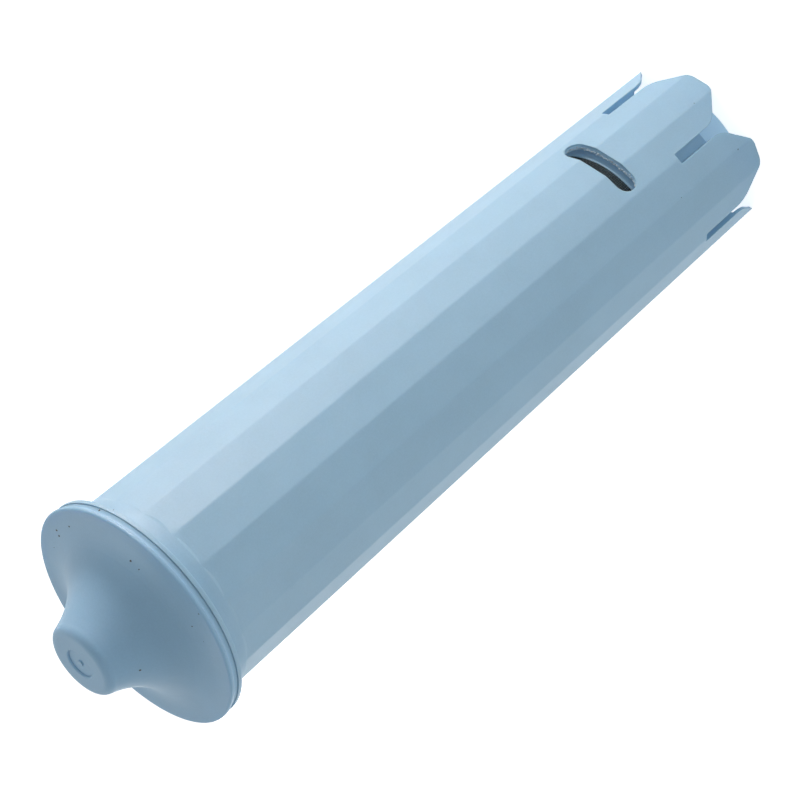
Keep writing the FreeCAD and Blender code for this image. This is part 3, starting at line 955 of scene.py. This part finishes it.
class WATERFILTER_OT_specks(bpy.types.Operator):
    """Lay the dirt specks on the mouldings"""

    bl_idname = "waterfilter.specks"
    bl_label = "Lay the dirt specks"

    def execute(self, context):
        settings = context.scene.waterfilter_specks
        chance = random.Random(settings.seed)
        context.view_layer.update()
        depsgraph = context.evaluated_depsgraph_get()
        corners, faces = [], []
        for origin, direction, reach in speck_rays():
            hit, place, normal, *_ = context.scene.ray_cast(depsgraph, origin, direction)
            if not hit:
                raise RuntimeError("a speck lies beside the part")
            start = len(corners)
            corners += speck_outline(place + normal * SPECK_LIFT, normal, reach, chance)
            for index in range(SPECK_CORNERS):
                after = (index + 1) % SPECK_CORNERS
                faces.append((start, start + 1 + index, start + 1 + after))
        piece = new_piece("dirt_specks", corners, faces, speck_material(settings.colour))
        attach(piece, "root")
        return {"FINISHED"}


# Each lamp's azimuth from +X in degrees, its distance from the axis, height, width and depth in
# metres, and its colour
KEY_LAMP = (-50, 0.4, 0.035, 0.3, 0.06, (1.0, 0.84, 0.78))
FILL_LAMP = (180, 0.4, 0.035, 0.3, 0.06, (1.0, 1.0, 1.0))
SIDE_LAMP = (85, 0.4, 0.035, 0.3, 0.06, (1.0, 0.96, 0.93))
BACK_LAMP = (40, 0.546, 0.747, 0.42, 0.42, (1.0, 1.0, 1.0))
# The level on the axis that every lamp aims at
LAMP_AIM = 90 * MM
# How far the ground runs out on each side, and how far across its grain is
GROUND_REACH = 6.0
GROUND_GRAIN = 3 * MM
# The camera's sensor width in millimetres, which the lens goes with
SENSOR_WIDTH = 36.0
WHITE = (1.0, 1.0, 1.0, 1.0)
BLACK = (0.0, 0.0, 0.0, 1.0)


def lamp(name, power, azimuth, distance, height, width, depth, colour):
    """An area lamp that aims at the part's middle and isn't seen itself."""
    data = bpy.data.lights.new(name, "AREA")
    data.shape = "RECTANGLE"
    data.size, data.size_y = width, depth
    data.energy = power
    data.color = colour
    turn = math.radians(azimuth)
    place = Vector((math.cos(turn) * distance, math.sin(turn) * distance, height))
    light = bpy.data.objects.new(name, data)
    light.location = place
    light.rotation_mode = "QUATERNION"
    aim = Vector((0, 0, LAMP_AIM)) - place
    light.rotation_quaternion = aim.to_track_quat("-Z", "Y")
    light.visible_camera = False
    bpy.context.scene.collection.objects.link(light)


def seen_share(tree):
    """A factor that is 1 for camera, glossy and transmission rays, and 0 for the others."""
    path = add_node(tree, "ShaderNodeLightPath")
    seen = path.outputs["Is Camera Ray"]
    for ray in ("Is Glossy Ray", "Is Transmission Ray"):
        seen = add_node(
            tree, "ShaderNodeMath", {0: seen, 1: path.outputs[ray]}, operation="MAXIMUM"
        ).outputs["Value"]
    return seen


def white_world(strength):
    """Even light from all round, and plain white where it is seen."""
    world = bpy.data.worlds.new("studio")
    world.use_nodes = True
    tree = world.node_tree
    tree.nodes.clear()
    light = add_node(tree, "ShaderNodeBackground", {"Color": WHITE, "Strength": strength})
    plain = add_node(tree, "ShaderNodeBackground", {"Color": WHITE, "Strength": 1.0})
    seen = seen_share(tree)
    mix = add_node(tree, "ShaderNodeMixShader", {0: seen, 1: light.outputs[0], 2: plain.outputs[0]})
    add_node(tree, "ShaderNodeOutputWorld", {"Surface": mix.outputs[0]})
    return world


def ground_material(lift):
    """A pale matte ground that keeps the part's shadow and reads as white where it is seen."""
    material, tree = new_material("ground")
    grain = noise(tree, object_place(tree), GROUND_GRAIN)
    scattered = add_node(
        tree,
        "ShaderNodeBsdfDiffuse",
        {"Color": ramp(tree, grain, (0.88, 0.88, 0.88, 1), (0.9, 0.9, 0.9, 1))},
    )
    seen = seen_share(tree)
    glow = add_node(tree, "ShaderNodeEmission", {"Color": WHITE, "Strength": lift}).outputs[0]
    nothing = add_node(tree, "ShaderNodeEmission", {"Color": BLACK, "Strength": 0.0}).outputs[0]
    shown = add_node(tree, "ShaderNodeMixShader", {0: seen, 1: nothing, 2: glow})
    both = add_node(tree, "ShaderNodeAddShader", {0: scattered.outputs[0], 1: shown.outputs[0]})
    finish_material(tree, both.outputs[0])
    return material


class WATERFILTER_OT_stage(bpy.types.Operator):
    """Set up the camera, the lamps, the white surroundings and the ground"""

    bl_idname = "waterfilter.stage"
    bl_label = "Set up the studio"

    def execute(self, context):
        scene = context.scene
        settings = scene.waterfilter_stage
        scene.view_settings.view_transform = "Standard"
        scene.world = white_world(settings.sky_strength)

        low, _ = CAD_BOX
        lamp("key_lamp", settings.key_strength, *KEY_LAMP)
        lamp("fill_lamp", settings.fill_strength, *FILL_LAMP)
        lamp("side_lamp", settings.side_strength, *SIDE_LAMP)
        lamp("back_lamp", settings.back_strength, *BACK_LAMP)

        reach = GROUND_REACH
        sides = ((-reach, -reach), (reach, -reach), (reach, reach), (-reach, reach))
        corners = [(x, y, low.z) for x, y in sides]
        ground = new_piece(
            "ground", corners, [(0, 1, 2, 3)], ground_material(settings.ground_lift), smooth=False
        )

        data = bpy.data.cameras.new("camera")
        data.sensor_width = SENSOR_WIDTH
        data.lens = settings.lens
        camera = bpy.data.objects.new("camera", data)
        back = Vector(
            (
                math.sin(settings.camera_azimuth) * math.cos(settings.camera_elevation),
                -math.cos(settings.camera_azimuth) * math.cos(settings.camera_elevation),
                math.sin(settings.camera_elevation),
            )
        )
        upright = (-back).to_track_quat("-Z", "Y").to_matrix().to_4x4()
        aim = Vector(settings.camera_aim)
        camera.matrix_world = (
            Matrix.Translation(aim + back * settings.camera_distance)
            @ upright
            @ Matrix.Rotation(settings.camera_roll, 4, "Z")
        )
        scene.collection.objects.link(camera)
        scene.camera = camera
        return {"FINISHED"}


OPERATORS = (
    WATERFILTER_OT_stage,
    WATERFILTER_OT_shell,
    WATERFILTER_OT_cap,
    WATERFILTER_OT_plug,
    WATERFILTER_OT_media,
    WATERFILTER_OT_screen,
    WATERFILTER_OT_grains,
    WATERFILTER_OT_specks,
)
SETTINGS = {
    "waterfilter_stage": StageSettings,
    "waterfilter_plastic": PlasticSettings,
    "waterfilter_screen": ScreenSettings,
    "waterfilter_grains": GrainSettings,
    "waterfilter_specks": SpeckSettings,
}


class WATERFILTER_PT_panel(bpy.types.Panel):
    """Lists the settings and the steps that dress the cartridge"""

    bl_label = "Water filter"
    bl_idname = "WATERFILTER_PT_panel"
    bl_space_type = "VIEW_3D"
    bl_region_type = "UI"
    bl_category = "Water filter"

    def draw(self, context):
        layout = self.layout
        for operator in OPERATORS:
            layout.operator(operator.bl_idname)
        for attribute, group in SETTINGS.items():
            box = layout.box()
            box.label(text=group.__doc__)
            for name in group.__annotations__:
                box.prop(getattr(context.scene, attribute), name)


def register():
    """Register the settings, the operators and the panel, and add the settings to the scene."""
    for group in SETTINGS.values():
        bpy.utils.register_class(group)
    for operator in OPERATORS:
        bpy.utils.register_class(operator)
    bpy.utils.register_class(WATERFILTER_PT_panel)
    for attribute, group in SETTINGS.items():
        setattr(bpy.types.Scene, attribute, bpy.props.PointerProperty(type=group))


def unregister():
    """Take away all that register added."""
    for attribute in SETTINGS:
        delattr(bpy.types.Scene, attribute)
    bpy.utils.unregister_class(WATERFILTER_PT_panel)
    for operator in reversed(OPERATORS):
        bpy.utils.unregister_class(operator)
    for group in SETTINGS.values():
        bpy.utils.unregister_class(group)


def main():
    """Build the dressed cartridge on its stage."""
    register()
    bpy.ops.waterfilter.stage()
    bpy.ops.waterfilter.shell()
    bpy.ops.waterfilter.cap()
    bpy.ops.waterfilter.plug()
    bpy.ops.waterfilter.media()
    bpy.ops.waterfilter.screen()
    bpy.ops.waterfilter.grains()
    bpy.ops.waterfilter.specks()


if __name__ == "__main__":
    main()
